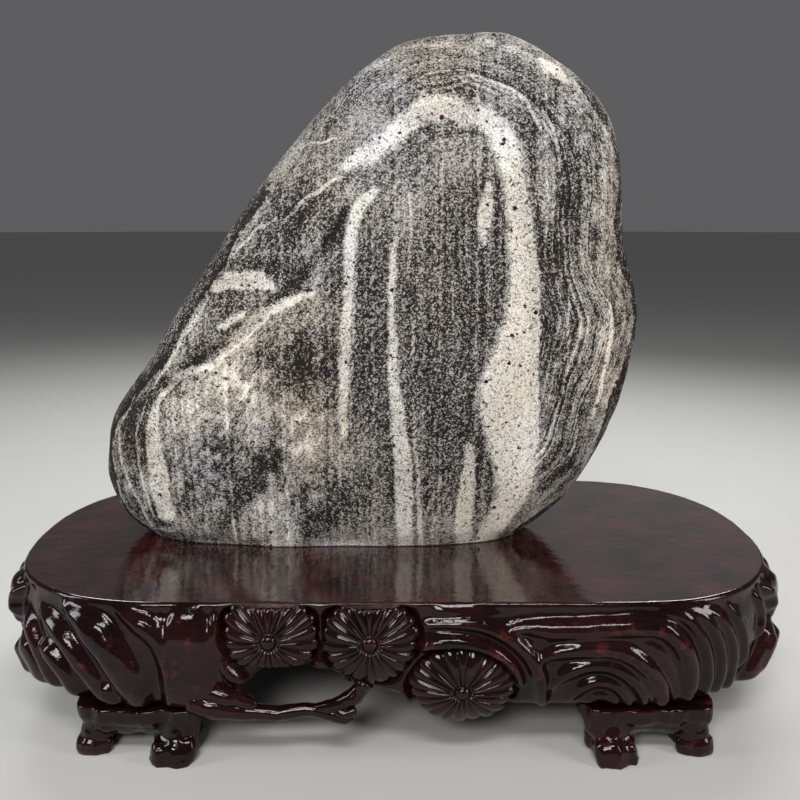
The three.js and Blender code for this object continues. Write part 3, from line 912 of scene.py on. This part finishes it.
def standBody():
    shape, quarter = standShape, perimeter / 4
    front = np.arange(-quarter, quarter, shape["frontColumn"])
    along = np.concatenate([front, np.arange(quarter, 3 * quarter, shape["backColumn"])])
    top, skirt, lip, under = (shape[name] for name in ("height", "skirt", "lipRadius", "underRound"))
    inside, bottom = top - shape["slab"], archUnderside(along)
    wander = layeredNoise(onEdge(along, 0, top), *shape["edgeWander"])
    rings, wear = [], []

    def addRing(outward, height, worn=0.0, inward=1):
        rings.append(onEdge(along, outward, height) * [inward, inward, 1])
        wear.append(np.broadcast_to(worn, len(along)))

    # from the middle of the underside outwards, down the skirt's inside and up its carved side
    addRing(-skirt - 8, inside, inward=0.4)
    addRing(-skirt - 8, inside)
    addRing(-skirt - 1, inside)
    addRing(-skirt, inside - 1.5)
    addRing(-skirt, (inside + bottom) / 2)
    addRing(-skirt + 0.5, bottom + 1)
    addRing(-skirt + 2, bottom)
    heights, pushes, rises = [], [], []
    for share in np.linspace(0, 1, shape["sideRows"]):
        height = bottom + (top - lip - bottom) * share
        rise = carving(along, height)
        rough = layeredNoise(onEdge(along, 0, height), *shape["carveNoise"])
        low = np.minimum(height - bottom, under)
        tuck = shape["underTurn"] * (1 - np.sqrt(np.clip(1 - (1 - low / under) ** 2, 0, 1)))
        fade = smoothStep(top - height, 0, shape["lipFade"])
        ground = shape["ground"] * smoothStep(-rise, -2, 0)
        relief = rise + ground + rough - flowerPockets(along, height)
        heights.append(height)
        rises.append(rise)
        pushes.append(wander + swell(height) - tuck + fade * relief)
    pushes = softened(softened(np.array(pushes)))
    for height, push, rise in zip(heights, pushes, rises):
        addRing(push, height, rise)
    for angle in np.radians(shape["lipTurns"]):
        addRing(wander - lip * (1 - math.cos(angle)), top - lip * (1 - math.sin(angle)), 3.0)
    addRing(wander - lip - 1.5, top)
    addRing(wander - lip - 6, top)
    addRing(-30, top)
    addRing(-30, top, inward=0.3)
    return closedRings(rings, wear, (0, 0, inside), (0, 0, top))


daisyShape = dict(
    petals=22, rise=3.0, tipRound=3.2, recess=6.0, topCut=94.4, pocket=5.5,
    # spread of the petals' turn in petals, of their length and of their height
    wobble=(-0.13, 0.13), length=(0.93, 1.02), plump=(0.8, 1.15), bulge=0.97,
    boss=4.2, bossHeight=3.6, bossTurns=(5, 30, 55, 75),
    # share of the radius and height of each ring behind the petals, and of the ring at their tips
    backRings=[(0.5, -8), (0.86, -8), (0.9, -4.8)], tipRing=(0.985, -2.5), middle=3.5,
    ridge=(0.2, 0.8), archPower=0.7,  # height at a petal's edge, what its middle adds, and how full it is
    across=[-1, -0.8, -0.52, -0.18, 0.18, 0.52, 0.8],  # places over the width of one petal
    outToIn=(1.0, 0.99, 0.96, 0.91, 0.84, 0.74, 0.62, 0.5, 0.38, 0.26, 0.15, 0.06, 0.0),
    # along the edge, outward, height, radius, nod in radians, dome, height of the lower cut,
    # and how tall it is for its width
    places=[(-68, 7, 75.5, 27.5, -0.04, 7, 61, 1.0), (-13, 7.4, 74.5, 27.5, 0.0, 7, 0, 1.0),
            (37.5, 6.4, 45.5, 30.5, 0.15, 7, 0, 0.8)],
)


# height of a petal's back over its length, from 0 at the middle of the flower to 1 at the tip
def petalArch(share):
    if share == 1:
        return 0.0
    steepness = 1 if share > 0.5 else 0.5
    return np.sqrt(max(0, 1 - ((share - 0.5) / 0.5) ** 2 * steepness))


def daisyMesh(radius, dome, seed):
    shape, random = daisyShape, np.random.default_rng(seed)
    petals = shape["petals"]
    wobble, length, plump = (random.uniform(*shape[name], petals) for name in ("wobble", "length", "plump"))
    angle, side, tip, full = [], [], [], []
    for k in range(petals):
        start, end = k + wobble[k], k + 1 + wobble[(k + 1) % petals]
        for u in shape["across"]:
            angle.append((start + (end - start) * (u + 1) / 2) / petals * 2 * math.pi)
            side.append(u)
            tip.append(length[k] if u > -1 else 0.5 * (length[k] + length[k - 1]))
            full.append(plump[k])
    angle, side, tip, full = (np.array(values) for values in (angle, side, tip, full))
    bulge = np.sqrt(1 - shape["bulge"] * side ** 2)
    outer = radius * tip - shape["tipRound"] * (1 - bulge)
    around = np.column_stack([np.cos(angle), np.sin(angle)])
    rings, wear = [], []

    def addRing(reach, height, worn=0.0):
        reach = np.broadcast_to(reach, angle.shape)[:, None]
        rings.append(np.column_stack([around * reach, np.broadcast_to(height, angle.shape)]))
        wear.append(np.broadcast_to(worn, angle.shape))

    for share, height in shape["backRings"]:
        addRing(radius * share, height - dome)
    share, height = shape["tipRing"]
    addRing(outer * share, height - dome)
    low, more = shape["ridge"]
    for share in shape["outToIn"]:
        reach = shape["recess"] + (outer - shape["recess"]) * share
        arch = petalArch(share)
        dished = -dome * (reach / radius) ** 2
        height = dished + full * shape["rise"] * (low + more * bulge) * arch ** shape["archPower"]
        addRing(reach, height, 3 * bulge * arch)
    boss = shape["boss"]
    addRing(boss + 1, -0.4)
    for slope in np.radians(shape["bossTurns"]):
        addRing(boss * math.cos(slope), -0.2 + shape["bossHeight"] * math.sin(slope), 4.0)
    return closedRings(rings, wear, (0, 0, shape["backRings"][0][1] - dome), (0, 0, shape["middle"]), 4)


def placedDaisies():
    for turn in (0, 1):
        for index, place in enumerate(daisyShape["places"]):
            along, outward, height, radius, nod, dome, lowCut, tall = place
            points, faces, wear = daisyMesh(radius, dome, 90 + index + 10 * turn)
            along = along + turn * perimeter / 2
            middle = onEdge([along], outward, height)[0]
            level = onEdge([along], outward + 1, height)[0] - middle
            normal = level - np.array([0, 0, math.tan(nod)])
            normal /= np.linalg.norm(normal)
            sideways = np.cross([0, 0, 1], level)
            upward = np.cross(normal, sideways)
            points = middle + points @ np.array([sideways, upward * tall, normal])
            points[:, 2] = np.clip(points[:, 2], lowCut, daisyShape["topCut"])
            yield points, faces, wear


# gnarled bars of round section: rows of along, outward, height and radius
branchBars = [
    [(-116, -3, 38, 9), (-104, -1, 34, 7.5), (-94, 0, 32, 6), (-80, 0, 30, 4.6), (-66, 0, 29.5, 4.6),
     (-52, 0, 31, 3.6), (-40, 0, 30, 3.6), (-30, 1, 27.5, 4.4), (-23, 1, 25.5, 2.4)],
    [(-106, 0, 43, 5), (-96, 1, 40.5, 5), (-86, 1, 38, 4.6), (-76, 1, 34, 3)],
    [(-46, 0, 31, 2.6), (-36, 1, 34, 4), (-27, 1, 37, 5), (-20, 1, 42, 5), (-15, 0, 50, 5)],
    [(-34, 1, 34, 3), (-28, 3, 31, 3), (-21, 3, 33, 2.6)],
]


def barMesh(route, seed, sides=16, steps=44):
    along, outward, height, thick = throughRows(route, np.linspace(0, 1, steps)).T
    line = onEdge(along, outward, height)
    _, ring = tubeRings(line, onEdge(along, outward + 1, height) - line, sides)
    share = np.linspace(0, 1, steps)
    radius = thick * np.clip(np.minimum(share, 1 - share) / 0.04, 0.3, 1) ** 0.5
    points = line[:, None] + ring * radius[:, None, None]
    knobs = noiseSum(points.reshape(-1, 3), (0.8, 9, seed), (0.4, 4, seed + 1))
    points = points + ring * knobs.reshape(steps, sides, 1)
    points = np.vstack([points.reshape(-1, 3), line[0], line[-1]])
    return points, ringFaces(steps, sides), np.full(len(points), 2.0)


def placedBranches():
    for turn in (0, 1):
        for index, bar in enumerate(branchBars):
            moved = np.array(bar, float)
            moved[:, 0] += turn * perimeter / 2
            yield barMesh(moved, 120 + index + 7 * turn)


lacquerLook = dict(
    dark=(0.004, 0.0013, 0.0014), worn=(0.085, 0.015, 0.011), wornShare=0.8,
    coat=0.8, coatRough=0.06, bumpDepth=0.00025, bumpStrength=0.6, grainStretch=(0.12, 1.0, 1.4),
    # scale per mm, detail and roughness of each noise
    cloudy=(0.03, 4.0, 0.6), woodGrain=(0.9, 4.0, 0.6), patchy=(0.11, 4.0, 0.65), waves=(0.16, 3.0, 0.5),
    # amounts of wood grain and cloud in the colour, and of waves and wood grain in the bump
    mottle=(0.6, 0.7), mottleEdge=(0.45, 0.9), brush=(1.4, 0.25), roughSpread=(0.8, 1.3),
    wearEdge=(1.6, 4.2), patchEdge=(0.54, 0.75),
    # the colour between the dark patches, the gloss and roughness below the coat, and the coat's index
    carved=dict(brown=(0.021, 0.0048, 0.0046), gloss=0.0, roughness=0.34, coatIor=1.42),
    rubbed=dict(brown=(0.055, 0.013, 0.012), gloss=0.6, roughness=0.09, coatIor=1.5),
)


def lacquerMaterial(name, brown, gloss, roughness, coatIor):
    look = lacquerLook
    material, tree, shader = newMaterial(name)
    places = placesInMm(tree)
    cloudy = noiseValue(places, *look["cloudy"])
    drawn = addNode("ShaderNodeVectorMath", {0: places, 1: look["grainStretch"]}, operation="MULTIPLY")
    woodGrain = noiseValue(drawn.outputs[0], *look["woodGrain"])
    mottled = plus(times(woodGrain, look["mottle"][0]), times(cloudy, look["mottle"][1]))
    colour = mixColours(remap(mottled, *look["mottleEdge"]), (*look["dark"], 1), (*brown, 1))
    # the high places are rubbed through to a redder brown here and there
    high = remap(readValue(tree, "wear"), *look["wearEdge"])
    patchy = remap(noiseValue(places, *look["patchy"]), *look["patchEdge"])
    share = times(times(high, patchy), look["wornShare"])
    waves = times(noiseValue(places, *look["waves"]), look["brush"][0])
    brushed = plus(waves, times(woodGrain, look["brush"][1]))
    smoothest, roughest = (roughness * factor for factor in look["roughSpread"])
    normal = bumped(brushed, look["bumpStrength"], look["bumpDepth"])
    setSockets(shader, {
        "Base Color": mixColours(share, colour, (*look["worn"], 1)),
        "Roughness": remap(cloudy, 0.3, 0.7, smoothest, roughest, "LINEAR"),
        "Specular IOR Level": gloss,
        "Coat Weight": look["coat"],
        "Coat Roughness": look["coatRough"],
        "Coat IOR": coatIor,
        "Normal": normal,
        "Coat Normal": normal,
    })
    return material


lacquer = lacquerMaterial("darkLacquer", **lacquerLook["carved"])
rubbedLacquer = lacquerMaterial("rubbedLacquer", **lacquerLook["rubbed"])


# eases points that reach past the last few mm of the CAD piece's box back inside it
def keptInside(points, low, high, ease=5.0):
    middle, half = (low + high) / 2, (high - low) / 2
    away = points - middle
    over = np.clip(np.abs(away) - (half - ease), 0, None)
    eased = np.minimum(np.abs(away), half - ease) + ease * np.tanh(over / ease) * 0.999
    return middle + np.sign(away) * eased


def makeStand():
    surfaces = [standBody(), *placedDaisies(), *placedBranches()]
    points, faces = joined(surfaces)
    low, high = (np.array(corner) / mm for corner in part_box("stand"))
    points[:, :2] = keptInside(points, low, high)[:, :2]
    stand = makeMesh("carvedStand", points, faces)
    setValues(stand, "wear", np.concatenate([wear for _, _, wear in surfaces]))
    stand.data.materials.append(lacquer)
    stand.data.materials.append(rubbedLacquer)
    # the flat top is rubbed smooth
    for face in stand.data.polygons:
        if face.normal.z > 0.98 and face.center.z > (standShape["height"] - 1) * mm:
            face.material_index = 1
    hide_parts("stand")
    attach(stand, "root")
    print("stand made with", len(stand.data.polygons), "faces")


makeStand()


# the front right foot as overlapping gnarled bars: rows of x, y, height and radius; the others mirror it
footShape = dict(
    voxel=1.1, smoothing=3, smoothFactor=0.5, turn=(0.3, 0.2, 1), stretch=(1, 1, 0.45),
    # height in mm and size across of the knobs and ridges
    knobs=(1.4, 11), smallKnobs=(0.7, 5), ridges=(0.9, 9),
    wear=2.2, wearOnTop=1.2, topHeights=(26, 29),
    bars=[
        [(122, -101, 29, 14), (122, -102, 20, 13), (124, -106, 12, 11), (126, -109, 6, 9)],
        [(116, -112, 5, 8), (124, -115, 6, 7.5), (133, -113, 5, 8)],
        [(117, -105, 4, 9), (125, -106, 6, 9), (134, -104, 4, 9)],
        [(116, -116, 2, 5), (125, -118, 2, 5), (135, -116, 2, 5)],
        [(122, -104, 6, 12), (122, -96, 8, 12)],
        [(112, -100, 26, 13), (130, -100, 26, 14), (150, -99, 26, 14), (172, -98, 26, 13),
         (178, -97, 26, 10)],
        [(118, -103, 19, 10), (134, -103, 20, 9), (152, -102, 20, 9), (172, -100, 19, 9.5)],
        [(118, -96, 19, 10), (150, -94, 19, 10), (174, -92, 19, 10)],
        [(169, -96, 26, 12), (170, -98, 16, 10.5), (172, -101, 8, 9.5)],
        [(166, -102, 3, 7), (172, -105, 5, 6.5), (180, -103, 3, 7)],
        [(166, -98, 3, 9), (172, -95, 4, 9.5), (178, -98, 3, 8)]],
)


def roundBar(route, sides=14, steps=18):
    rows = throughRows(route, np.linspace(0, 1, steps))
    line, radius = rows[:, :3], rows[:, 3]
    run, ring = tubeRings(line, footShape["turn"], sides)
    points = (line[:, None] + ring * radius[:, None, None]).reshape(-1, 3)
    ends = [line[0] - run[0] * radius[0] * 0.6, line[-1] + run[-1] * radius[-1] * 0.6]
    return np.vstack([points, ends]), ringFaces(steps, sides)


# one skin round all the bars of a foot, with its points and their directions
def footSkin(name, points, faces):
    rough = makeMesh(name, points, faces)
    remesh = rough.modifiers.new("remesh", "REMESH")
    remesh.mode = "VOXEL"
    remesh.voxel_size = footShape["voxel"] * mm
    smooth = rough.modifiers.new("smooth", "SMOOTH")
    smooth.factor = footShape["smoothFactor"]
    smooth.iterations = footShape["smoothing"]
    solved = rough.evaluated_get(bpy.context.evaluated_depsgraph_get())
    mesh = bpy.data.meshes.new_from_object(solved)
    bpy.data.objects.remove(rough)
    places, normals = np.empty((2, len(mesh.vertices) * 3))
    mesh.vertices.foreach_get("co", places)
    mesh.vertices.foreach_get("normal", normals)
    return mesh, places.reshape(-1, 3) / mm, normals.reshape(-1, 3)


def makeFoot(node, flipX, flipY, seed):
    shape = footShape
    points, faces = joined([roundBar(bar) for bar in shape["bars"]])
    mesh, places, normals = footSkin(node + "Rough", points * [flipX, flipY, 1], faces)
    stretched = places * shape["stretch"]
    lumps = noiseSum(stretched, (*shape["knobs"], seed), (*shape["smallKnobs"], seed + 1))
    rise, size = shape["ridges"]
    lumps += rise * (1 - 2 * np.abs(softNoise(stretched, size, seed + 2)))
    moved = places + normals * lumps[:, None]
    low, high = (np.array(corner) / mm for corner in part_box(node))
    moved = np.clip(moved, low, high)
    mesh.vertices.foreach_set("co", (moved * mm).ravel())
    mesh.polygons.foreach_set("use_smooth", [True] * len(mesh.polygons))
    foot = addObject(node + "Root", mesh)
    onTop = shape["wearOnTop"] * smoothStep(moved[:, 2], *shape["topHeights"])
    setValues(foot, "wear", shape["wear"] + lumps + onTop)
    mesh.materials.clear()
    mesh.materials.append(lacquer)
    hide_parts(node)
    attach(foot, "root")
    print(node, "made with", len(mesh.polygons), "faces")


makeFoot("foot_front_right", 1, 1, 201)
makeFoot("foot_front_left", -1, 1, 211)
makeFoot("foot_back_right", 1, -1, 221)
makeFoot("foot_back_left", -1, -1, 231)
